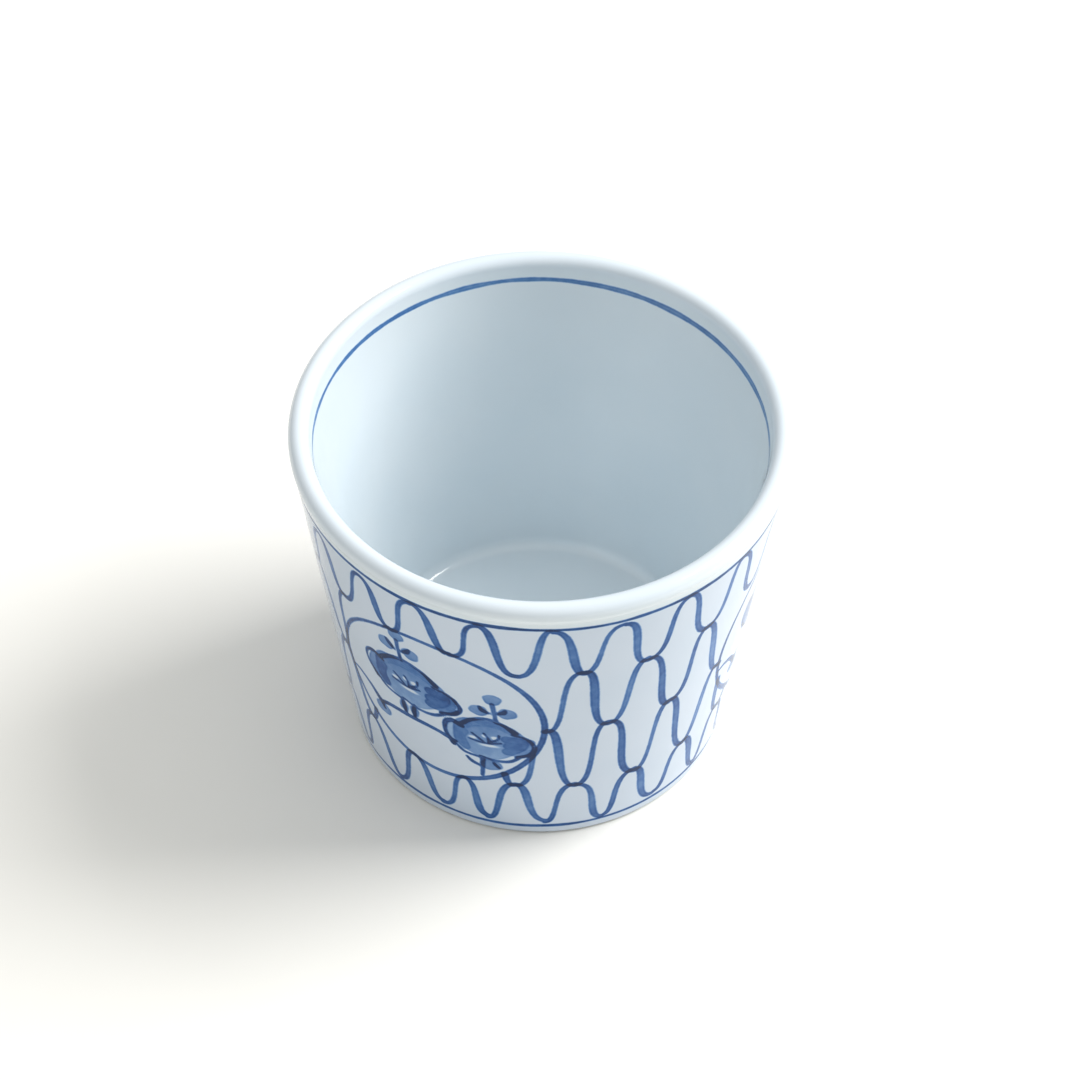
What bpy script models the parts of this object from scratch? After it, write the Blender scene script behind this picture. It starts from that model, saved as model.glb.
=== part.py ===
"""Straight-sided porcelain teacup, built in the layers that a real one is made of.

The pieces are the clay body, the three cobalt lines banded on it while it turned on the wheel,
the clear glaze over the whole cup, and the glaze under its foot. Each one is turned from a profile
about +Z. The origin is the middle of the foot's resting face. Units are metres.

A profile is a chain of arcs joined by straight runs. It runs from the axis on the floor of the cup
out along the floor, up the inside, over the rim, down the outside, under the foot and back to the
axis. `cover` is how far a surface lies above the clay: 0 is the clay and GLAZE the glazed surface.
"""

from math import cos, radians, sin, tan

import bpy

MM = 0.001

# Clay body
HEIGHT = 67.8 * MM
RIM_RADIUS = 41.0 * MM
GLAZE = 0.3 * MM
BEAD = 1.45 * MM             # radius of the rolled rim
BEAD_TUCK = radians(20)      # how far the roll turns under before the neck
NECK = 3.3 * MM              # radius of the hollow just under the rolled rim
OUTER_LEAN = radians(7.3)    # outer wall, from upright
INNER_LEAN = radians(8.9)    # inner wall, from upright: the wall thickens downwards
FLOOR_HEIGHT = 5.9 * MM
FLOOR_FILLET = 2.3 * MM
FOOT_EDGE = 1.2 * MM         # rounding at the outside of the foot
TREAD_INNER_RADIUS = 27.0 * MM
TREAD_EDGE = 0.6 * MM        # rounding at the inside of the foot
RECESS_DEPTH = 2.4 * MM
RECESS_FILLET = 0.8 * MM

# Glaze edges: the foot is wiped clean, so that it doesn't stick in the kiln
GLAZE_STOP = radians(-42)    # on the foot's outer rounding, 0 being level and -90 straight down
GLAZE_STOP_TAPER = radians(6)
RECESS_GLAZE_STOP = 0.9 * MM  # height of the glaze's edge inside the foot

# Cobalt lines
PIGMENT = 0.1 * MM
LINE_WIDTH = 0.6 * MM
INNER_LINE_HEIGHT = 63.7 * MM
UPPER_LINE_HEIGHT = 63.4 * MM
LOWER_LINE_HEIGHT = 2.7 * MM

TURN_STEPS = 60
MERGE_DISTANCE = 0.001 * MM
SMALL_ARC_STEPS = 3


def arc(centre, radius, start, end, steps):
    """Points on an arc from the angle start to end, both included."""
    angles = [start + (end - start) * i / steps for i in range(steps + 1)]
    return [(centre[0] + radius * cos(a), centre[1] + radius * sin(a)) for a in angles]


def step_from(point, distance, angle):
    return (point[0] + distance * cos(angle), point[1] + distance * sin(angle))


BEAD_CENTRE = (RIM_RADIUS - GLAZE - BEAD, HEIGHT - GLAZE - BEAD)
NECK_CENTRE = step_from(BEAD_CENTRE, BEAD + NECK, -BEAD_TUCK)
OUTER_WALL_TOP = step_from(NECK_CENTRE, NECK, radians(180) - OUTER_LEAN)
INNER_WALL_TOP = step_from(BEAD_CENTRE, BEAD, radians(180) - INNER_LEAN)


def outer_wall_radius(height):
    return OUTER_WALL_TOP[0] - (OUTER_WALL_TOP[1] - height) * tan(OUTER_LEAN)


def inner_wall_radius(height):
    return INNER_WALL_TOP[0] - (INNER_WALL_TOP[1] - height) * tan(INNER_LEAN)


def foot_edge_centre():
    """Centre of the rounding that meets both the outer wall and the resting face."""
    return (outer_wall_radius(FOOT_EDGE) - FOOT_EDGE / cos(OUTER_LEAN), FOOT_EDGE)


def floor_fillet_centre():
    height = FLOOR_HEIGHT + FLOOR_FILLET
    return (inner_wall_radius(height) - FLOOR_FILLET / cos(INNER_LEAN), height)


def inside_surface(cover):
    """Floor centre to the top of the inner wall."""
    fillet = arc(floor_fillet_centre(), FLOOR_FILLET - cover, radians(-90), -INNER_LEAN,
                 2 * SMALL_ARC_STEPS)
    return [(0, FLOOR_HEIGHT + cover)] + fillet


def rim_surface(cover):
    """Over the rolled rim, from the inner wall to the outer wall."""
    radius = BEAD + cover
    inner_half = arc(BEAD_CENTRE, radius, radians(180) - INNER_LEAN, radians(90), 4)
    outer_half = arc(BEAD_CENTRE, radius, radians(90), -BEAD_TUCK, 5)
    neck = arc(NECK_CENTRE, NECK - cover, radians(180) - BEAD_TUCK, radians(180) - OUTER_LEAN, 2)
    return inner_half + outer_half[1:] + neck[1:]


def foot_edge_surface(cover, start, stop):
    """Part of the rounding at the outside of the foot."""
    return arc(foot_edge_centre(), FOOT_EDGE + cover, start, stop, SMALL_ARC_STEPS)


def recess_surface(cover):
    """From the inside of the foot, round the corner of the recess, to the axis."""
    corner = (TREAD_INNER_RADIUS - RECESS_FILLET, RECESS_DEPTH - RECESS_FILLET)
    fillet = arc(corner, RECESS_FILLET - cover, 0, radians(90), SMALL_ARC_STEPS)
    return fillet + [(0, RECESS_DEPTH - cover)]


def line_corners(height, wall_radius, lean, outward):
    """Corners of a cobalt line on a wall: clay and face at its low edge, face and clay at its top.

    outward is 1 on the outer wall, whose face looks away from the axis, and -1 on the inner one.
    """
    along = (sin(lean) * LINE_WIDTH / 2, cos(lean) * LINE_WIDTH / 2)
    away = (outward * cos(lean) * PIGMENT, -outward * sin(lean) * PIGMENT)
    middle = (wall_radius(height), height)
    low = (middle[0] - along[0], middle[1] - along[1])
    top = (middle[0] + along[0], middle[1] + along[1])
    low_face = (low[0] + away[0], low[1] + away[1])
    top_face = (top[0] + away[0], top[1] + away[1])
    return [low, low_face, top_face, top]


INNER_LINE = line_corners(INNER_LINE_HEIGHT, inner_wall_radius, INNER_LEAN, -1)
UPPER_LINE = line_corners(UPPER_LINE_HEIGHT, outer_wall_radius, OUTER_LEAN, 1)
LOWER_LINE = line_corners(LOWER_LINE_HEIGHT, outer_wall_radius, OUTER_LEAN, 1)


def body_profile():
    tread_edge_centre = (TREAD_INNER_RADIUS + TREAD_EDGE, TREAD_EDGE)
    tread_edge = arc(tread_edge_centre, TREAD_EDGE, radians(-90), radians(-180), SMALL_ARC_STEPS)
    return (inside_surface(0) + rim_surface(0)
            + foot_edge_surface(0, -OUTER_LEAN, GLAZE_STOP)
            + foot_edge_surface(0, GLAZE_STOP, radians(-90))[1:]
            + tread_edge + recess_surface(0))


def glaze_profile():
    """The glazed surface, then back along the clay and round the cobalt lines that it buries."""
    outside = (inside_surface(GLAZE) + rim_surface(GLAZE)
               + foot_edge_surface(GLAZE, -OUTER_LEAN, GLAZE_STOP + GLAZE_STOP_TAPER))
    clay = (foot_edge_surface(0, -OUTER_LEAN, GLAZE_STOP)[::-1]
            + LOWER_LINE + UPPER_LINE
            + rim_surface(0)[::-1]
            + INNER_LINE[::-1]
            + inside_surface(0)[::-1])
    return outside + clay


def recess_glaze_profile():
    clay_edge = (TREAD_INNER_RADIUS, RECESS_GLAZE_STOP)
    glazed_edge = (TREAD_INNER_RADIUS - GLAZE, RECESS_GLAZE_STOP + GLAZE / 2)
    return recess_surface(0)[::-1] + [clay_edge, glazed_edge] + recess_surface(GLAZE)


def make_material(name, colour, roughness):
    material = bpy.data.materials.new(name)
    material.use_nodes = True
    shader = material.node_tree.nodes["Principled BSDF"]
    shader.inputs["Base Color"].default_value = (*colour, 1)
    shader.inputs["Roughness"].default_value = roughness
    shader.inputs["Metallic"].default_value = 0
    material.diffuse_color = (*colour, 1)
    return material


def turned(name, profile, material, closed=False):
    """A solid of revolution about +Z. A closed profile makes a ring that stays off the axis."""
    points = [(radius, 0, height) for radius, height in profile]
    edges = [(i, i + 1) for i in range(len(points) - 1)]
    if closed:
        edges.append((len(points) - 1, 0))
    mesh = bpy.data.meshes.new(name)
    mesh.from_pydata(points, edges, [])
    mesh.materials.append(material)
    piece = bpy.data.objects.new(name, mesh)
    turn = piece.modifiers.new("Turn", "SCREW")
    turn.steps = TURN_STEPS
    turn.render_steps = TURN_STEPS
    turn.use_merge_vertices = True
    turn.merge_threshold = MERGE_DISTANCE
    turn.use_smooth_shade = True
    return piece


def build():
    for old in list(bpy.data.objects):
        bpy.data.objects.remove(old)
    teacup = bpy.data.collections.new("teacup")
    bpy.context.scene.collection.children.link(teacup)

    biscuit = make_material("bare_porcelain", (0.80, 0.76, 0.68), 0.75)
    glaze = make_material("glazed_porcelain", (0.84, 0.87, 0.90), 0.10)
    cobalt = make_material("cobalt_blue", (0.04, 0.10, 0.33), 0.30)

    pieces = [
        turned("porcelain_body", body_profile(), biscuit),
        turned("glaze_coat", glaze_profile(), glaze),
        turned("foot_recess_glaze", recess_glaze_profile(), glaze),
        turned("inner_rim_line", INNER_LINE, cobalt, closed=True),
        turned("upper_border_line", UPPER_LINE[::-1], cobalt, closed=True),
        turned("lower_border_line", LOWER_LINE[::-1], cobalt, closed=True),
    ]
    for piece in pieces:
        teacup.objects.link(piece)


build()
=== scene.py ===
"""Looks of the porcelain teacup: glazed skins over bare clay, painted in cobalt under the glaze.

The painting is worked out as signed distances, in millimetres, from the points of a fine wall to
the edges of brush strokes. They are stored on the mesh as attributes, and the material turns them
into pigment. Lengths of the cup are millimetres, and its meshes are scaled to metres as they are
made. Lengths of the stage are metres. Angles round the cup are degrees: 0 faces the camera and they
grow to the right of it. Strokes that the brush made by hand vary by seeded random amounts.
"""

from math import ceil, cos, degrees, pi, radians, sin, tan

import bpy
import numpy as np
from mathutils import Matrix, Vector


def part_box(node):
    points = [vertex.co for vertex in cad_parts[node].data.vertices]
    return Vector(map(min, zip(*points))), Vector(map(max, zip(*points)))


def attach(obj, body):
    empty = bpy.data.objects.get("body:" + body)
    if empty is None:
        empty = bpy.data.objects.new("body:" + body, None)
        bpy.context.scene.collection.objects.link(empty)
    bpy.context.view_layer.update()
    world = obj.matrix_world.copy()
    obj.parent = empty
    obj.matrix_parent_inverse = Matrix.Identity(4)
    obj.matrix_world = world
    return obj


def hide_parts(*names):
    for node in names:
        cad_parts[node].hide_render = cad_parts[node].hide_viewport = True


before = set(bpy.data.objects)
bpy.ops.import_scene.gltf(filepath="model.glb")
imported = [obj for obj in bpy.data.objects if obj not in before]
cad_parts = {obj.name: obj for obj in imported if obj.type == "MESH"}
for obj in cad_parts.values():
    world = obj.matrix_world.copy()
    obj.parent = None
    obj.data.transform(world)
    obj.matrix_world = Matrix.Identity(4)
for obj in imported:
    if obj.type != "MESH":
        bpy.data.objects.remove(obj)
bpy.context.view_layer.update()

MM = 0.001

# Glazed surface: the CAD's profile, drawn finer. Sizes of arcs repeat the CAD's.
RIM_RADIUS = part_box("glaze_coat")[1].x / MM
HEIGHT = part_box("glaze_coat")[1].z / MM
FLOOR_HEIGHT = 6.2
GLAZE = 0.3
BEAD = 1.75                  # radius of the rolled rim
BEAD_TUCK = radians(20)      # how far the roll turns under before the neck
NECK = 3.0                   # radius of the hollow just under the rolled rim
OUTER_LEAN = radians(7.3)    # outer wall, from upright
INNER_LEAN = radians(8.9)    # inner wall, from upright
FLOOR_FILLET = 2.3
FOOT_EDGE = 1.2              # rounding of the clay at the outside of the foot
GLAZE_STOP = radians(-38)    # where the glaze ends on that rounding
TREAD_INNER_RADIUS = 27.0
TREAD_EDGE = 0.6             # rounding of the clay at the inside of the foot
RECESS_DEPTH = 2.4
RECESS_FILLET = 0.8
RECESS_GLAZE_STOP = 0.9
TUCK_IN = 0.12               # how deep a skin's edge runs into the clay, so that no gap shows

# Mesh fineness
TURN_COLUMNS = 256
PAINTED_COLUMNS = 720
PAINTED_ROWS = 190
INSIDE_COLUMNS = 384
FINE_BAND = 1.5              # rows lie closer from this far under the inner line

# Painting
BRUSH_SEED = 7
FAR = 3.0                    # distance stored where no stroke is near
REACH = 0.9                  # how far past its edge a stroke is worked out
DAB_SPACING = 0.16
NET_COLUMNS = 22
NET_PHASE = 2.5              # angle of the first crest
NET_HEIGHTS = (62.5, 50.1, 33.6, 16.0, 3.8)   # where crests and troughs of the rows meet
MEDALLION_ANGLES = (-28.3, 84.5, 208.0)
MEDALLION_HEIGHT = 33.7
MEDALLION_RADIUS = 19.3
TAIL_CHANCE = 0.25           # share of crests with a flick to their left
RING_CLEARANCE = 1.2         # a wave this close to a medallion's ring counts as behind it
CLEAR_SHARE_HIGH = 0.4       # least part of a wave's side that has to be clear of the medallions
CLEAR_SHARE_LOW = 0.14       # the same in the two lower rows

# Glaze and pigment
STROKE_SOFTNESS = 0.21       # half the width over which a stroke's edge fades
STROKE_RAGGEDNESS = 0.16     # how far noise moves a stroke's edge in all
LINE_RAGGEDNESS = 0.12       # the same for a banded line
OUTSIDE_SHINE = 0.12         # specular levels
INSIDE_SHINE = 0.7
RECESS_SHINE = 0.5
GLAZE_WAVE_SIZE = 3.2
GLAZE_WAVE_HEIGHT = 0.006
PIGMENT_SCALE = 0.86
WHITE_GLAZE = (0.678, 0.76, 0.814)
WHITE_GLAZE_CLOUD = (0.70, 0.775, 0.824)
# Tint that makes the glaze bluer and darker: on the outer wall below the upper line it is painted
# shade, on the rim a slightly bluer, darker tone
BLUER_DARKER_GLAZE = (0.84, 0.86, 0.935)
# Light that pigment lets back through the glaze, against pigment from none to the most
PIGMENT_STOPS = ((0.0, (1.0, 1.0, 1.0)), (0.10, (0.50, 0.66, 0.86)), (0.20, (0.27, 0.43, 0.69)),
                 (0.38, (0.095, 0.235, 0.51)), (0.58, (0.028, 0.120, 0.355)),
                 (0.78, (0.012, 0.062, 0.20)), (1.0, (0.005, 0.032, 0.115)))


def middle_height(node):
    """Height of the middle of a CAD node."""
    low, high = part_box(node)
    return (low.z + high.z) / 2 / MM


UPPER_LINE_HEIGHT = middle_height("upper_border_line")
LOWER_LINE_HEIGHT = middle_height("lower_border_line")
INNER_LINE_HEIGHT = middle_height("inner_rim_line")


# ---------------------------------------------------------------- profiles

def arc(centre, radius, start, end, steps):
    """Points on an arc from the angle start to end, both included."""
    angles = [start + (end - start) * i / steps for i in range(steps + 1)]
    return [(centre[0] + radius * cos(a), centre[1] + radius * sin(a)) for a in angles]


def run(start, end, steps):
    """Points on a straight run, both ends included."""
    return [(start[0] + (end[0] - start[0]) * i / steps,
             start[1] + (end[1] - start[1]) * i / steps) for i in range(steps + 1)]


def step_from(point, distance, angle):
    """The point at a distance and angle from another."""
    return (point[0] + distance * cos(angle), point[1] + distance * sin(angle))


BEAD_CENTRE = (RIM_RADIUS - BEAD, HEIGHT - BEAD)
NECK_CENTRE = step_from(BEAD_CENTRE, BEAD + NECK, -BEAD_TUCK)
OUTER_WALL_TOP = step_from(NECK_CENTRE, NECK, pi - OUTER_LEAN)
INNER_WALL_TOP = step_from(BEAD_CENTRE, BEAD, pi - INNER_LEAN)


def outer_radius(height):
    """Radius of the glazed outer wall."""
    return OUTER_WALL_TOP[0] - (OUTER_WALL_TOP[1] - height) * tan(OUTER_LEAN)


def inner_radius(height):
    """Radius of the glazed inner wall."""
    return INNER_WALL_TOP[0] - (INNER_WALL_TOP[1] - height) * tan(INNER_LEAN)


FLOOR_FILLET_HEIGHT = FLOOR_HEIGHT + FLOOR_FILLET
FLOOR_FILLET_CENTRE = (inner_radius(FLOOR_FILLET_HEIGHT) - FLOOR_FILLET / cos(INNER_LEAN),
                       FLOOR_FILLET_HEIGHT)
RECESS_CORNER = (TREAD_INNER_RADIUS - RECESS_FILLET, RECESS_DEPTH - RECESS_FILLET)
CLAY_FOOT_CENTRE = (outer_radius(FOOT_EDGE) - (GLAZE + FOOT_EDGE) / cos(OUTER_LEAN), FOOT_EDGE)
OUTER_WALL_FOOT = step_from(CLAY_FOOT_CENTRE, FOOT_EDGE + GLAZE, -OUTER_LEAN)


def clay_profile():
    """The bare clay under the glaze, from the floor over the rim to the underside."""
    tread_centre = (TREAD_INNER_RADIUS + TREAD_EDGE, TREAD_EDGE)
    return ([(0, FLOOR_HEIGHT - GLAZE)]
            + arc(FLOOR_FILLET_CENTRE, FLOOR_FILLET + GLAZE, radians(-90), -INNER_LEAN, 8)
            + arc(BEAD_CENTRE, BEAD - GLAZE, pi - INNER_LEAN, -BEAD_TUCK, 16)
            + arc(NECK_CENTRE, NECK + GLAZE, pi - BEAD_TUCK, pi - OUTER_LEAN, 2)[1:]
            + arc(CLAY_FOOT_CENTRE, FOOT_EDGE, -OUTER_LEAN, radians(-90), 14)
            + arc(tread_centre, TREAD_EDGE, radians(-90), radians(-180), 6)
            + arc(RECESS_CORNER, RECESS_FILLET, 0, radians(90), 6)
            + [(0, RECESS_DEPTH)])


def inside_profile():
    """The glazed floor, inner wall, rolled rim and neck."""
    fillet = arc(FLOOR_FILLET_CENTRE, FLOOR_FILLET, radians(-90), -INNER_LEAN, 12)
    bead = arc(BEAD_CENTRE, BEAD, pi - INNER_LEAN, -BEAD_TUCK, 26)
    neck = arc(NECK_CENTRE, NECK, pi - BEAD_TUCK, pi - OUTER_LEAN, 5)
    band_bottom = INNER_LINE_HEIGHT - FINE_BAND
    line_bottom = (inner_radius(band_bottom), band_bottom)
    return (run((0, FLOOR_HEIGHT), fillet[0], 16) + fillet[1:]
            + run(fillet[-1], line_bottom, 40)[1:]
            + run(line_bottom, bead[0], 16)[1:]
            + bead[1:] + neck[1:])


def recess_profile():
    """The glazed recess under the foot, with its outer edge run into the clay."""
    edge_centre = (TREAD_INNER_RADIUS, RECESS_GLAZE_STOP + GLAZE)
    edge = arc(edge_centre, GLAZE, radians(-80), radians(-180), 5)
    fillet = arc(RECESS_CORNER, RECESS_FILLET - GLAZE, 0, radians(90), 8)
    return ([(TREAD_INNER_RADIUS + TUCK_IN, RECESS_GLAZE_STOP)] + edge + fillet
            + run(fillet[-1], (0, RECESS_DEPTH - GLAZE), 12)[1:])


def outside_profile(rows):
    """The glazed outer wall from under the neck, and then the glaze's edge on the foot."""
    wall = run(OUTER_WALL_TOP, OUTER_WALL_FOOT, rows - 1)
    edge = arc(CLAY_FOOT_CENTRE, FOOT_EDGE + GLAZE, -OUTER_LEAN, GLAZE_STOP, 5)
    lip_centre = step_from(CLAY_FOOT_CENTRE, FOOT_EDGE + GLAZE / 2, GLAZE_STOP)
    lip = arc(lip_centre, GLAZE / 2, GLAZE_STOP, GLAZE_STOP - radians(100), 5)
    tucked = step_from(CLAY_FOOT_CENTRE, FOOT_EDGE - TUCK_IN, GLAZE_STOP - radians(3))
    return wall, edge[1:] + lip[1:] + [tucked]


def turned_mesh(name, profile, columns):
    """A surface of revolution about +Z in metres, with its faces out where it runs down."""
    on_axis = [abs(radius) < 1e-9 for radius, height in profile]
    turn = np.arange(columns) * 2 * pi / columns - pi / 2
    points, starts = [], []
    for (radius, height), single in zip(profile, on_axis):
        starts.append(len(points))
        if single:
            points.append((0, 0, height))
        else:
            points.extend((radius * cos(a), radius * sin(a), height) for a in turn)
    faces = []
    for i in range(len(profile) - 1):
        for j in range(columns):
            k = (j + 1) % columns
            upper = (starts[i], starts[i]) if on_axis[i] else (starts[i] + j, starts[i] + k)
            lower = ((starts[i + 1], starts[i + 1]) if on_axis[i + 1]
                     else (starts[i + 1] + j, starts[i + 1] + k))
            ring = [upper[0], lower[0], lower[1], upper[1]]
            faces.append(list(dict.fromkeys(ring)))
    mesh = bpy.data.meshes.new(name)
    mesh.from_pydata([Vector(p) * MM for p in points], [], faces)
    mesh.shade_smooth()
    return mesh


# ---------------------------------------------------------------- brushwork

class PaintedWall:
    """A conical wall of points, with the distance and tone of the nearest stroke on each layer.
    Its profile runs down."""

    def __init__(self, profile, columns):
        self.radii = np.array([p[0] for p in profile])
        self.heights = np.array([p[1] for p in profile])
        self.columns = columns
        self.layers = {}

    def layer(self, name):
        """A layer's distances and tones, made when it is first asked for."""
        if name not in self.layers:
            shape = (len(self.heights), self.columns)
            self.layers[name] = (np.full(shape, FAR), np.zeros(shape))
        return self.layers[name]

    def window(self, angle, height, reach):
        """Row and column numbers near a point, and the columns' angles from it in radians."""
        radius = np.interp(height, self.heights[::-1], self.radii[::-1])
        rows = np.nonzero(np.abs(self.heights - height) <= reach)[0]
        half = ceil(degrees(reach / radius) / 360 * self.columns)
        nearest = round(angle / 360 * self.columns)
        columns = np.arange(nearest - half, nearest + half + 1)
        across = np.radians(columns * 360 / self.columns - angle)
        return rows, columns % self.columns, across

    def keep_nearer(self, name, rows, columns, distance, tone):
        """Writes distances and tones on a layer, where they are nearer than what it holds."""
        distances, tones = self.layer(name)
        spot = np.ix_(rows, columns)
        nearer = distance < distances[spot]
        distances[spot] = np.where(nearer, distance, distances[spot])
        tones[spot] = np.where(nearer, tone, tones[spot])

    def dab(self, name, angle, height, half_width, tone):
        """One touch of a round brush."""
        rows, columns, across = self.window(angle, height, half_width + REACH)
        x = self.radii[rows][:, None] * across[None, :]
        y = (self.heights[rows] - height)[:, None]
        self.keep_nearer(name, rows, columns, np.hypot(x, y) - half_width, tone)

    def stroke(self, name, samples):
        """Dabs close enough to merge. samples: rows of angle, height, half width and tone."""
        for angle, height, half_width, tone in samples:
            self.dab(name, angle, height, half_width, tone)

    def pool(self, name, angle, height, half_wide, half_high, tone, wobble, lean):
        """A filled wash with a wavering outline. lean makes it darker towards the right and up."""
        reach = max(half_wide, half_high) * 1.2 + REACH
        rows, columns, across = self.window(angle, height, reach)
        x = self.radii[rows][:, None] * across[None, :] / half_wide
        y = (self.heights[rows] - height)[:, None] / half_high
        turn = np.arctan2(y, x + 1e-9)
        edge = 1 + 0.04 * np.sin(3 * turn + wobble) + 0.03 * np.sin(5 * turn + 2 * wobble)
        distance = (np.hypot(x, y) - edge) * min(half_wide, half_high)
        self.keep_nearer(name, rows, columns, distance, tone * (1 + lean[0] * x + lean[1] * y))

    def store(self, mesh):
        """Writes each layer on the mesh's first points as a vector: distance, tone, 0."""
        for name, (distances, tones) in self.layers.items():
            attribute = mesh.attributes.new(name, "FLOAT_VECTOR", "POINT")
            values = np.zeros((len(mesh.vertices), 3), np.float32)
            values[:, 0] = FAR
            values[:distances.size, 0] = distances.ravel()
            values[:distances.size, 1] = tones.ravel()
            attribute.data.foreach_set("vector", values.ravel())


def spline(points):
    """Catmull-Rom through control points of (x, y, half width, tone), sampled for dabs."""
    p = np.array(points, float)
    p = np.vstack([2 * p[0] - p[1], p, 2 * p[-1] - p[-2]])
    p[[0, -1], 2:] = p[[1, -2], 2:]
    samples = []
    for a, b, c, d in zip(p, p[1:], p[2:], p[3:]):
        count = max(2, int(np.hypot(*(c - b)[:2]) / DAB_SPACING))
        for t in np.arange(count) / count:
            samples.append(0.5 * (2 * b + (c - a) * t + (2 * a - 5 * b + 4 * c - d) * t * t
                                  + (3 * b - a - 3 * c + d) * t ** 3))
    samples.append(p[-2])
    return np.array(samples)


def swing(start, end, pull_start, pull_end):
    """Half a wave as (t, angles, heights): level at both ends, the rounder the larger its pulls."""
    (angle0, height0), (angle1, height1) = start, end
    t = np.linspace(0, 1, int(abs(height1 - height0) / DAB_SPACING * 1.6) + 16)
    ease = t * t * (3 - 2 * t)
    bow = pull_start * t * (1 - t) ** 2 - pull_end * t * t * (1 - t)
    return t, angle0 + (angle1 - angle0) * (ease + bow), height0 + (height1 - height0) * ease


# ---------------------------------------------------------------- the net

def across_medallions(angle):
    """How far to the right of each medallion's middle an angle is, along the wall."""
    scale = outer_radius(MEDALLION_HEIGHT)
    return [radians((angle - centre + 180) % 360 - 180) * scale for centre in MEDALLION_ANGLES]


def medallion_edge(angle, side):
    """Height of a medallion's ring at an angle, above (side 1) or below it (-1), or None."""
    for across in across_medallions(angle):
        if abs(across) < MEDALLION_RADIUS:
            return MEDALLION_HEIGHT + side * (MEDALLION_RADIUS ** 2 - across ** 2) ** 0.5
    return None


def inside_medallion(angle, height, margin=0.2):
    """Whether a point is inside a medallion's ring made smaller by a margin."""
    reach = MEDALLION_RADIUS - margin
    return any(np.hypot(across, height - MEDALLION_HEIGHT) < reach
               for across in across_medallions(angle))


def net_joints(rng):
    """Where the waves turn: joints[level][column] is (angle, height). Levels alternate by half a
    column, and the top and bottom ones touch the border lines. Columns drift and the levels between
    sag, as when they are painted by eye, and rows next to a medallion end at its ring."""
    step = 360 / NET_COLUMNS
    joints = []
    for level, height in enumerate(NET_HEIGHTS):
        row = []
        for column in range(NET_COLUMNS):
            angle = NET_PHASE + (column + 0.5 * (level % 2)) * step
            angle += 1.2 * (1 - cos(radians(2 * angle))) + rng.uniform(-0.8, 0.8)
            sag = -0.5 - 0.8 * sin(radians(angle - 20))
            here = height + (sag if 0 < level < 4 else 0) + rng.uniform(-0.5, 0.5)
            if level == 1:
                ring = medallion_edge(angle, 1)
                here = max(here, ring) if ring else here
            if level == 3:
                ring = medallion_edge(angle, -1)
                here = min(here, ring) if ring else here
            row.append(np.array((angle, here)))
        joints.append(row)
    return joints


def wave_row(wall, layer, upper, lower, lower_first, rng):
    """One row of waves: down from each upper joint to the next lower one, and up again."""
    for column in range(NET_COLUMNS):
        after = column if lower_first else column + 1
        for number, falling in ((after, True), (after - 1, False)):
            turns = number // NET_COLUMNS
            bottom = lower[number % NET_COLUMNS] + np.array((360.0 * turns, 0.0))
            half_swing(wall, layer, upper[column], bottom, falling, rng)
        if rng.random() < TAIL_CHANCE:
            paint_tail(wall, layer, upper[column], rng)


def half_swing(wall, layer, top, bottom, falling, rng):
    """One side of a wave. The falling side is usually the fuller stroke, and a side that is mostly
    behind a medallion is left out."""
    top = top + rng.uniform((-0.5, -0.25), (0.5, 0.25))
    bottom = bottom + rng.uniform((-0.5, -0.25), (0.5, 0.25))
    t, angles, heights = swing(top, bottom, *rng.uniform(1.5, 2.8, 2))
    ends = rng.uniform(0.38, 0.54, 2)
    middle = rng.uniform(0.54, 0.78) if falling else rng.uniform(0.36, 0.60)
    bulge = np.exp(-((t - rng.uniform(0.35, 0.65)) / 0.30) ** 2)
    widths = ends[0] + (ends[1] - ends[0]) * t + (middle - ends.mean()) * bulge
    tones = 0.63 + rng.uniform(-0.08, 0.10) + 0.12 * np.cos(2 * pi * t)
    kept = [not inside_medallion(a, h) for a, h in zip(angles, heights)]
    clear = [not inside_medallion(a, h, -RING_CLEARANCE) for a, h in zip(angles, heights)]
    in_upper_rows = bottom[1] > MEDALLION_HEIGHT - 5
    if np.mean(clear) > (CLEAR_SHARE_HIGH if in_upper_rows else CLEAR_SHARE_LOW):
        wall.stroke(layer, np.stack([angles, heights, widths, tones], -1)[kept])


def paint_tail(wall, layer, joint, rng):
    """The short flick that a brush leaves to the left of a crest where it started early."""
    along = np.linspace(0, 1, 12)
    angles = joint[0] - along * rng.uniform(1.6, 2.8)
    heights = joint[1] - rng.uniform(0.2, 0.9) * along ** 2
    kept = [not inside_medallion(a, h) for a, h in zip(angles, heights)]
    wall.stroke(layer, np.stack([angles, heights, 0.36 - 0.2 * along, 0.7 + 0 * along], -1)[kept])


def paint_net(wall, rng):
    """The rows on alternate layers, so that pigment adds up where they cross."""
    joints = net_joints(rng)
    for level in range(4):
        layer = "net_odd" if level % 2 == 0 else "net_even"
        lift = 0.25 if level else 0.0
        upper = [joint + (0.0, lift) for joint in joints[level]]
        wave_row(wall, layer, upper, joints[level + 1], level % 2 == 0, rng)


# ---------------------------------------------------------------- the medallions

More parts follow.
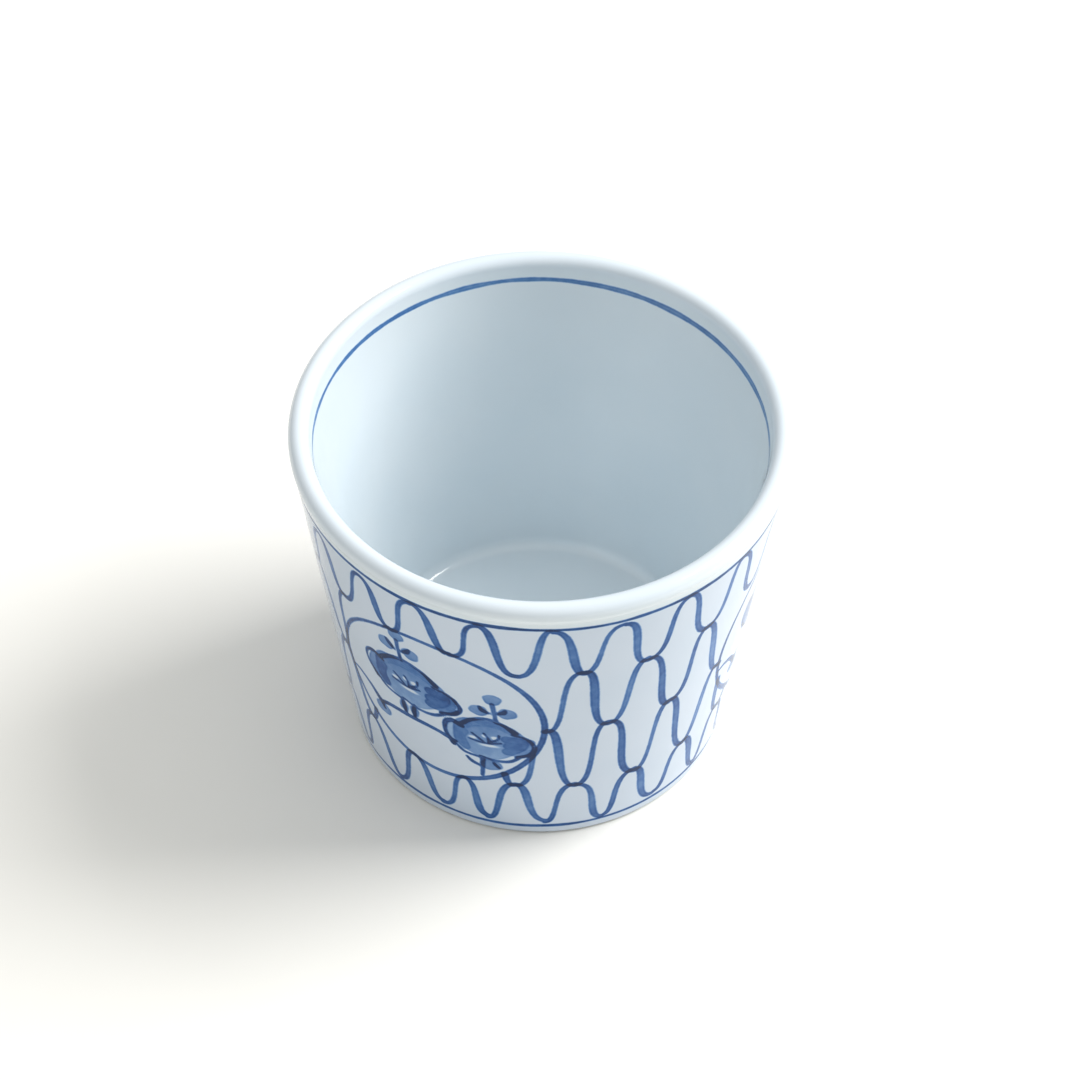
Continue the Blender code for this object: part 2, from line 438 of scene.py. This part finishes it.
class Picture:
    """Draws on a wall in millimetres from a medallion's centre: x to the right and y up."""

    def __init__(self, wall, angle, rng):
        self.wall = wall
        self.angle = angle
        self.rng = rng
        self.per_degree = radians(1) * outer_radius(MEDALLION_HEIGHT)

    def on_wall(self, samples):
        """Samples whose x and y are turned into the wall's angle and height."""
        placed = np.array(samples, float)
        placed[:, 0] = self.angle + placed[:, 0] / self.per_degree
        placed[:, 1] += MEDALLION_HEIGHT
        return placed

    def line(self, layer, points, shake=0.12):
        """A brush stroke through control points, each moved a little by hand."""
        moved = np.array(points, float)
        moved[:, :2] += self.rng.uniform(-shake, shake, (len(moved), 2))
        self.wall.stroke(layer, self.on_wall(spline(moved)))

    def wash(self, layer, x, y, half_wide, half_high, tone, lean=(0.0, 0.0)):
        """A filled patch, as PaintedWall.pool lays it."""
        (angle, height, _, _), = self.on_wall([(x, y, 0, 0)])
        wobble = self.rng.uniform(0, 2 * pi)
        self.wall.pool(layer, angle, height, half_wide, half_high, tone, wobble, lean)


def paint_medallion_ring(picture):
    """The round frame, heavier low on the right, where the brush was loaded."""
    turns = np.radians(np.arange(0, 361, 0.5))
    phase = picture.rng.uniform(-0.3, 0.3)
    radius = MEDALLION_RADIUS * (1 + 0.008 * np.sin(2 * turns + phase))
    half_widths = 0.44 + 0.10 * np.cos(turns + 0.9 + phase) + 0.03 * np.sin(5 * turns)
    tones = 0.66 + 0.10 * np.cos(2 * turns + 0.6)
    samples = np.stack([radius * np.cos(turns), radius * np.sin(turns), half_widths, tones], -1)
    picture.wall.stroke("frame_lines", picture.on_wall(samples))


def paint_blossom(picture, x, y, w, h, left_width, left_tone, right_tone):
    """A plump five-petalled blossom. w and h are half its width and height, left_width is half
    the width of the stroke round its left petal, and the tones fill its two side petals."""
    def outline(points):
        picture.line("ink", [(x + w * u, y + h * v, half_width, tone)
                             for u, v, half_width, tone in points])

    picture.wash("wash", x - 0.02 * w, y - 0.02 * h, 0.82 * w, 0.94 * h, 0.34, (-0.06, 0.32))
    for start, end in ((0.06, 0.02), (-0.22, -0.24), (-0.52, -0.50)):
        fill_petal(picture, x, y, w, h, ((0.42, start), (0.64, start), (0.84, end)), right_tone)
    fill_petal(picture, x, y, w, h, ((-0.78, 0.22), (-0.87, -0.10), (-0.76, -0.52)), left_tone)
    fill_petal(picture, x, y, w, h, ((-0.60, 0.14), (-0.68, -0.20), (-0.58, -0.62)), left_tone)
    outline([(-0.62, 0.44, 0.46, 1.0), (-0.36, 0.78, 0.46, 0.75), (-0.02, 0.97, 0.38, 0.65),
             (0.32, 0.80, 0.40, 0.70), (0.56, 0.46, 0.56, 1.2)])
    outline([(-0.58, 0.34, 1.1 * left_width, 1.1), (-0.80, 0.46, 1.3 * left_width, 0.95),
             (-0.98, 0.26, left_width, 0.85), (-1.0, -0.20, 0.8 * left_width, 0.70),
             (-0.82, -0.66, 1.1 * left_width, 1.1)])
    outline([(-0.80, -0.62, 0.22, 0.8), (-0.58, -0.90, 0.30, 0.7), (-0.26, -0.98, 0.28, 0.8)])
    outline([(-0.22, -0.92, 0.24, 0.8), (0.10, -1.04, 0.32, 0.62), (0.44, -0.98, 0.38, 0.7),
             (0.72, -0.70, 0.30, 0.8)])
    outline([(0.50, 0.34, 0.24, 0.8), (0.80, 0.20, 0.28, 0.75), (0.99, -0.22, 0.40, 0.90),
             (0.88, -0.58, 0.46, 1.0), (0.60, -0.74, 0.38, 1.1)])
    paint_petal_lines(picture, x, y, w, h)
    paint_stamens(picture, x - 0.06 * w, y - 0.02 * h)


def fill_petal(picture, x, y, w, h, path, tone):
    """One broad stroke of a side petal, which gets darker to its end."""
    broad = 0.17 * h
    picture.line("petals", [(x + w * u, y + h * v, broad, tone * (0.85 + 0.15 * number))
                            for number, (u, v) in enumerate(path)], shake=0.2)


def paint_petal_lines(picture, x, y, w, h):
    """Faint strokes that follow the petals' edges, left by the brush as it filled them."""
    for scale in (0.60, 0.70, 0.80):
        first, last = picture.rng.uniform((15, 125), (40, 165))
        turns = np.radians(np.linspace(first, last, 5))
        picture.line("petals", [(x + w * scale * cos(turn), y + h * scale * sin(turn), 0.24, 0.10)
                                for turn in turns])


def paint_stamens(picture, x, y):
    """The blossom's centre: bare crescents with a few dark flicks between them."""
    for u, v, wide, high in ((-2.3, -0.3, 0.8, 0.45), (-0.2, 0.8, 0.6, 0.5), (1.5, 0.6, 0.7, 0.6),
                             (0.4, -2.0, 1.8, 0.45)):
        picture.wash("bare", x + u, y + v, wide, high, 1.0)
    for flick in (((-2.4, 1.0), (-1.5, 0.0), (-0.6, -0.9)), ((-0.3, 1.6), (0.3, 0.3), (0.4, -1.1)),
                  ((2.2, 1.7), (2.0, 0.3), (0.7, -0.9)), ((-3.0, -0.9), (0.0, -1.4), (2.5, -0.7))):
        picture.line("ink", [(x + u, y + v, 0.22, 0.8) for u, v in flick], shake=0.08)


def paint_sprig(picture, x, y, lean):
    """A stem with three round leaves, each with a darker comma. x and y are the stem's foot."""
    picture.line("ink", [(x, y, 0.36, 0.9), (x + 0.4 * lean, y + 2.4, 0.34, 0.6),
                         (x + lean, y + 5.4, 0.42, 0.6)])
    picture.wash("wash", x + lean, y + 6.8, 1.55, 1.5, 0.36, (0.0, -0.2))
    for side in (-1, 1):
        u, v = x + lean + 2.35 * side, y + 3.0 + 0.1 * side
        picture.wash("wash", u, v, 1.6, 1.5, 0.36, (0.0, -0.2))
        picture.line("ink", [(u - 0.2 * side, v + 1.2, 0.30, 0.7),
                             (u - 0.7 * side, v + 0.3, 0.50, 0.8),
                             (u - 1.6 * side, v - 0.4, 0.34, 0.7)])


def paint_calyx(picture, x, y, size):
    """Two short strokes under a blossom, with a light wash between and beside them."""
    for side in (-1, 1):
        picture.wash("wash", x + 1.1 * side * size, y - 1.9, 0.9 * size, 1.5, 0.36)
        picture.line("ink", [(x + 1.2 * side * size, y, 0.34, 0.6),
                             (x + 1.0 * side * size, y - 1.8, 0.48, 0.95),
                             (x + 0.9 * side * size, y - 3.5, 0.30, 1.2)])


def paint_ground(picture):
    """The line that the blossoms grow from, in two strokes that meet in a drooping leaf."""
    picture.line("ink", [(-18.8, -4.0, 0.30, 0.6), (-16.6, -4.0, 0.38, 0.6),
                         (-14.0, -5.4, 0.46, 0.7), (-11.9, -7.8, 0.60, 1.0)])
    picture.line("ink", [(-11.6, -7.9, 0.44, 1.1), (-9.0, -6.6, 0.50, 0.8),
                         (-4.6, -6.0, 0.54, 0.75), (0.2, -6.1, 0.48, 0.7), (3.8, -7.5, 0.46, 0.9)])
    picture.wash("wash", -11.5, -9.5, 1.8, 1.6, 0.38)
    picture.line("ink", [(-11.8, -7.4, 0.50, 1.0), (-11.3, -9.4, 0.32, 0.9)])


def paint_fallen_leaf(picture, x, y):
    """The small leaf and stalk under the lower blossom."""
    picture.wash("wash", x + 1.4, y - 1.6, 1.9, 1.6, 0.36)
    picture.line("ink", [(x, y, 0.46, 0.8), (x - 0.1, y - 2.8, 0.36, 0.7),
                         (x - 0.2, y - 5.4, 0.32, 0.7)])
    picture.line("ink", [(x + 2.0, y - 0.9, 0.30, 1.0), (x + 2.7, y - 2.2, 0.26, 1.1)])
    picture.line("ink", [(x - 2.9, y - 0.5, 0.24, 0.9), (x - 1.9, y - 1.6, 0.40, 0.9),
                         (x - 0.4, y - 2.6, 0.30, 0.7)])


def paint_medallions(wall, rng):
    """Each round frame with an upper blossom on the left and a lower one on the right."""
    for angle in MEDALLION_ANGLES:
        picture = Picture(wall, angle, rng)
        paint_medallion_ring(picture)
        paint_ground(picture)
        paint_calyx(picture, -4.7, -1.8, 1.0)
        paint_blossom(picture, -3.7, 4.6, 9.1, 6.5, 0.30, 0.44, 0.46)
        paint_sprig(picture, -4.6, 10.6, -0.3)
        paint_fallen_leaf(picture, 8.7, -10.8)
        paint_blossom(picture, 10.0, -4.2, 7.8, 6.3, 0.46, 0.18, 0.34)
        paint_sprig(picture, 11.4, 1.2, -0.5)


# ---------------------------------------------------------------- materials

class Nodes:
    """Short calls for building a material's node tree."""

    def __init__(self, name):
        self.material = bpy.data.materials.new(name)
        self.material.use_nodes = True
        self.tree = self.material.node_tree
        self.shader = self.tree.nodes["Principled BSDF"]

    def add(self, kind, settings=None, **inputs):
        """A new node. An underscore in the name of one of its inputs stands for a space."""
        node = self.tree.nodes.new(kind)
        for key, value in (settings or {}).items():
            setattr(node, key, value)
        for key, value in inputs.items():
            self.feed(node, key.replace("_", " "), value)
        return node

    def feed(self, node, key, value):
        """Links a socket to an input, or sets a plain value on it."""
        socket = node.inputs[int(key)] if key.isdigit() else node.inputs[key]
        if isinstance(value, bpy.types.NodeSocket):
            self.tree.links.new(value, socket)
        else:
            socket.default_value = value

    def maths(self, operation, first, second=0.0, third=0.0):
        """Result of a sum on sockets or plain numbers."""
        node = self.add("ShaderNodeMath", {"operation": operation})
        for index, value in enumerate((first, second, third)):
            self.feed(node, str(index), value)
        return node.outputs[0]

    def noise(self, size_mm, detail=2.0, roughness=0.5, distortion=0.0):
        """Noise from 0 to 1 with features of about the given size."""
        where = self.add("ShaderNodeTexCoord").outputs["Object"]
        node = self.add("ShaderNodeTexNoise", Vector=where, Scale=1 / (size_mm * MM), Detail=detail,
                        Roughness=roughness, Distortion=distortion)
        return node.outputs["Fac"]

    def position(self):
        """The place on the cup in metres, as outputs X, Y and Z."""
        where = self.add("ShaderNodeTexCoord").outputs["Object"]
        return self.add("ShaderNodeSeparateXYZ", Vector=where).outputs

    def height(self):
        """Height above the table in millimetres."""
        return self.maths("MULTIPLY", self.position()["Z"], 1 / MM)

    def ease(self, value, start, end, low=0.0, high=1.0):
        """Smoothly from low at start to high at end."""
        node = self.add("ShaderNodeMapRange", {"interpolation_type": "SMOOTHSTEP"})
        for key, setting in (("Value", value), ("From Min", start), ("From Max", end),
                             ("To Min", low), ("To Max", high)):
            self.feed(node, key, setting)
        return node.outputs["Result"]

    def ramp(self, value, stops):
        """Colour at a value from 0 to 1, between stops of (position, colour)."""
        node = self.add("ShaderNodeValToRGB", Fac=value)
        elements = node.color_ramp.elements
        while len(elements) < len(stops):
            elements.new(0.5)
        for element, (position, colour) in zip(elements, stops):
            element.position = position
            element.color = (*colour, 1)
        return node.outputs["Color"]

    def mix(self, factor, first, second, blend="MIX"):
        """Blend of two colours, each a socket or three numbers."""
        node = self.add("ShaderNodeMix", {"data_type": "RGBA", "blend_type": blend})
        self.feed(node, "Factor", factor)
        for index, colour in (("6", first), ("7", second)):
            is_socket = isinstance(colour, bpy.types.NodeSocket)
            self.feed(node, index, colour if is_socket else (*colour, 1))
        return node.outputs[2]

    def bump(self, height, distance_mm):
        """Normals of a surface that noise from 0 to 1 raises by a distance."""
        return self.add("ShaderNodeBump", Height=height, Distance=distance_mm * MM,
                        Strength=1.0).outputs["Normal"]

    def set(self, **inputs):
        """Feeds the shader's inputs and hands back the finished material."""
        for key, value in inputs.items():
            self.feed(self.shader, key.replace("_", " "), value)
        return self.material


def stroke_pigment(nodes, distance, tone):
    """Mask and pigment of a stroke: soft at its edge, and darker where the wet edge dried."""
    mask = nodes.ease(distance, STROKE_SOFTNESS, -STROKE_SOFTNESS)
    rim = nodes.ease(distance, -0.45, -0.05, 0.84, 1.14)
    return mask, nodes.maths("MULTIPLY", nodes.maths("MULTIPLY", mask, rim), tone)


def layer_pigment(nodes, layer, ragged):
    """Mask and pigment of a layer that is stored on the mesh."""
    spot = nodes.add("ShaderNodeAttribute", {"attribute_name": layer}).outputs["Vector"]
    parts = nodes.add("ShaderNodeSeparateXYZ", Vector=spot)
    distance = nodes.maths("MULTIPLY_ADD", ragged, STROKE_RAGGEDNESS, parts.outputs["X"])
    return stroke_pigment(nodes, distance, parts.outputs["Y"])


def banded_line_pigment(nodes, ragged, height, half_width, tone, tilt=0.0, fuller=0.0):
    """Pigment of a line banded round the cup at a height. At the cup's right side it is lower by
    tilt, and half its width is larger by fuller."""
    sideways = nodes.maths("MULTIPLY", nodes.position()["X"], 1 / (RIM_RADIUS * MM))
    waver = nodes.ease(nodes.noise(22, 1.0), 0.25, 0.75, -0.14, 0.14)
    level = nodes.maths("ADD", nodes.maths("MULTIPLY_ADD", sideways, -tilt, height), waver)
    offset = nodes.maths("SUBTRACT", nodes.height(), level)
    swell = nodes.ease(nodes.noise(9, 2.0), 0.3, 0.7, 0.78 * half_width, 1.25 * half_width)
    half = nodes.maths("MULTIPLY_ADD", sideways, fuller, swell)
    distance = nodes.maths("SUBTRACT", nodes.maths("ABSOLUTE", offset), half)
    distance = nodes.maths("MULTIPLY_ADD", ragged, LINE_RAGGEDNESS, distance)
    strength = nodes.ease(nodes.noise(14, 3.0), 0.3, 0.7, 0.85 * tone, 1.15 * tone)
    return stroke_pigment(nodes, distance, strength)[1]


def glaze_material(nodes, pigments, shine, bluer_darker_share=0.0):
    """White porcelain under clear glaze, with pigments between the two. Its last argument, from 0
    to
    1, tints the glaze bluer and darker; on the outer wall that darkening is painted shade."""
    cloud = nodes.ease(nodes.noise(14, 2.0), 0.3, 0.7)
    colour = nodes.mix(cloud, WHITE_GLAZE, WHITE_GLAZE_CLOUD)
    colour = nodes.mix(bluer_darker_share, colour, nodes.mix(1.0, colour, BLUER_DARKER_GLAZE, "MULTIPLY"))
    if pigments:
        total = pigments[0]
        for pigment in pigments[1:]:
            total = nodes.maths("ADD", total, pigment)
        mottle = nodes.ease(nodes.noise(1.7, 4.0, 0.6), 0.25, 0.75, 0.84, 1.16)
        amount = nodes.maths("MULTIPLY", nodes.maths("MULTIPLY", total, mottle), PIGMENT_SCALE)
        colour = nodes.mix(1.0, colour, nodes.ramp(amount, PIGMENT_STOPS), "MULTIPLY")
    roughness = nodes.ease(nodes.noise(6, 3.0), 0.3, 0.7, 0.03, 0.07)
    return nodes.set(Base_Color=colour, Roughness=roughness, IOR=1.5, Specular_IOR_Level=shine,
                     Normal=nodes.bump(nodes.noise(GLAZE_WAVE_SIZE, 2.0, 0.4), GLAZE_WAVE_HEIGHT))


def ragged_edges(nodes):
    """Fine noise about 0 that makes the edges of strokes uneven."""
    return nodes.maths("SUBTRACT", nodes.noise(0.8, 3.0), 0.5)


def painted_glaze():
    """The outside: net, medallions and two border lines, with painted shade below the upper one:
    the glaze there is tinted bluer and darker.
    """
    nodes = Nodes("painted_glaze")
    ragged = ragged_edges(nodes)
    bare_mask, _ = layer_pigment(nodes, "bare", ragged)
    covered = nodes.maths("SUBTRACT", 1.0, bare_mask)
    pigments = [banded_line_pigment(nodes, ragged, UPPER_LINE_HEIGHT, 0.34, 0.85, tilt=0.2),
                banded_line_pigment(nodes, ragged, LOWER_LINE_HEIGHT, 0.30, 0.72)]
    for layer in ("wash", "petals"):
        pigment = layer_pigment(nodes, layer, ragged)[1]
        pigments.append(nodes.maths("MULTIPLY", pigment, covered))
    for layer in ("ink", "net_odd", "net_even", "frame_lines"):
        pigments.append(layer_pigment(nodes, layer, ragged)[1])
    # Painted shade: below the upper border line the outer wall's glaze is tinted bluer and darker
    bluer_darker_share = nodes.ease(nodes.height(), UPPER_LINE_HEIGHT + 1, UPPER_LINE_HEIGHT - 1)
    return glaze_material(nodes, pigments, OUTSIDE_SHINE, bluer_darker_share)


def lined_glaze():
    """The inside and the rim, with one banded line. The glaze is tinted a little bluer and darker
    towards the rim.
    """
    nodes = Nodes("lined_glaze")
    line = banded_line_pigment(nodes, ragged_edges(nodes), INNER_LINE_HEIGHT, 0.40, 0.50,
                               fuller=0.07)
    bluer_darker_share = nodes.ease(nodes.height(), INNER_LINE_HEIGHT + 1, HEIGHT, 0.0, 0.34)
    return glaze_material(nodes, [line], INSIDE_SHINE, bluer_darker_share)


def plain_glaze():
    return glaze_material(Nodes("plain_glaze"), [], RECESS_SHINE)


def bare_clay():
    """Unglazed porcelain: cream, matt and finely gritty."""
    nodes = Nodes("bare_clay")
    grain = nodes.noise(0.35, 4.0, 0.7)
    blotch = nodes.noise(5, 3.0)
    speck = nodes.ease(nodes.noise(0.6, 2.0), 0.70, 0.78)
    clay = nodes.mix(nodes.ease(blotch, 0.3, 0.7), (0.72, 0.67, 0.57), (0.64, 0.57, 0.46))
    clay = nodes.mix(nodes.maths("MULTIPLY", speck, 0.4), clay, (0.40, 0.32, 0.24))
    return nodes.set(Base_Color=clay, Roughness=nodes.ease(grain, 0.3, 0.7, 0.70, 0.90),
                     Normal=nodes.bump(grain, 0.05))


# ---------------------------------------------------------------- pieces

def place(mesh, material, replaced):
    """Makes a mesh a piece of the cup, in place of the CAD nodes that it replaces."""
    piece = bpy.data.objects.new(mesh.name, mesh)
    bpy.context.scene.collection.objects.link(piece)
    mesh.materials.append(material)
    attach(piece, "root")
    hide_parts(*replaced)
    return piece


def make_outside():
    rng = np.random.default_rng(BRUSH_SEED)
    wall_profile, foot = outside_profile(PAINTED_ROWS)
    wall = PaintedWall(wall_profile, PAINTED_COLUMNS)
    paint_net(wall, rng)
    paint_medallions(wall, rng)
    mesh = turned_mesh("glazed_outside", wall_profile + foot, PAINTED_COLUMNS)
    wall.store(mesh)
    return place(mesh, painted_glaze(), ["upper_border_line", "lower_border_line"])


def make_inside():
    mesh = turned_mesh("glazed_inside", inside_profile(), INSIDE_COLUMNS)
    return place(mesh, lined_glaze(), ["glaze_coat", "inner_rim_line"])


def make_clay():
    mesh = turned_mesh("clay_body", clay_profile(), TURN_COLUMNS)
    return place(mesh, bare_clay(), ["porcelain_body"])


def make_recess():
    mesh = turned_mesh("glazed_recess", recess_profile(), TURN_COLUMNS)
    return place(mesh, plain_glaze(), ["foot_recess_glaze"])


# ---------------------------------------------------------------- stage

def make_camera():
    """In front of the cup and above it, looking down into it, and a little rolled."""
    data = bpy.data.cameras.new("camera")
    data.sensor_width = 36
    data.lens = 108
    data.clip_end = 10
    camera = bpy.data.objects.new("camera", data)
    elevation = radians(46.19)
    distance = 0.5239
    aim_down = radians(48.30)
    roll = radians(0.66)
    camera.matrix_world = (
        Matrix.Translation((0, -distance * cos(elevation), HEIGHT * MM + distance * sin(elevation)))
        @ Matrix.Rotation(radians(90) - aim_down, 4, "X")
        @ Matrix.Rotation(roll, 4, "Z"))
    bpy.context.scene.collection.objects.link(camera)
    bpy.context.scene.camera = camera


def make_window(azimuth, elevation, distance, wide, high, watts):
    """A soft window of light. Its azimuth is measured from +X towards the back."""
    data = bpy.data.lights.new("window", "AREA")
    data.shape = "RECTANGLE"
    data.size = wide
    data.size_y = high
    data.energy = watts
    data.color = (1.0, 0.975, 0.95)
    light = bpy.data.objects.new("window", data)
    middle = Vector((0, 0, HEIGHT * MM / 2))
    towards = Vector((cos(azimuth) * cos(elevation), sin(azimuth) * cos(elevation), sin(elevation)))
    light.location = middle + distance * towards
    light.rotation_mode = "QUATERNION"
    light.rotation_quaternion = (-towards).to_track_quat("-Z", "Y")
    bpy.context.scene.collection.objects.link(light)


def make_world(colour, everywhere, towards):
    """A pale room with the same light everywhere, plus more of it towards a direction."""
    world = bpy.data.worlds.new("soft_room")
    world.use_nodes = True
    tree = world.node_tree
    direction = tree.nodes.new("ShaderNodeTexCoord").outputs["Generated"]
    along = tree.nodes.new("ShaderNodeVectorMath")
    along.operation = "DOT_PRODUCT"
    along.inputs[1].default_value = towards
    strength = tree.nodes.new("ShaderNodeMath")
    strength.operation = "ADD"
    strength.use_clamp = True
    strength.inputs[1].default_value = everywhere
    tree.links.new(direction, along.inputs[0])
    tree.links.new(along.outputs["Value"], strength.inputs[0])
    tree.links.new(strength.outputs["Value"], tree.nodes["Background"].inputs["Strength"])
    tree.nodes["Background"].inputs["Color"].default_value = (*colour, 1)
    bpy.context.scene.world = world


def make_floor():
    """A pale matt table, wide enough to fill every view."""
    half = 4.0
    mesh = bpy.data.meshes.new("table_top")
    corners = [(-half, -half, 0), (half, -half, 0), (half, half, 0), (-half, half, 0)]
    mesh.from_pydata(corners, [], [(0, 1, 2, 3)])
    floor = bpy.data.objects.new("table_top", mesh)
    nodes = Nodes("pale_table")
    tint = nodes.mix(nodes.ease(nodes.noise(60, 2.0), 0.3, 0.7), (0.85, 0.85, 0.82),
                     (0.865, 0.865, 0.835))
    mesh.materials.append(nodes.set(Base_Color=tint, Roughness=0.7))
    bpy.context.scene.collection.objects.link(floor)


make_camera()
make_outside()
make_inside()
make_clay()
make_recess()
make_floor()
make_window(azimuth=radians(16), elevation=radians(39), distance=2.6, wide=1.4, high=2.0, watts=85)
make_world(colour=(1.0, 0.995, 0.97), everywhere=0.33, towards=(0.04, 0.0, 0.60))
bpy.context.scene.view_settings.view_transform = "Standard"
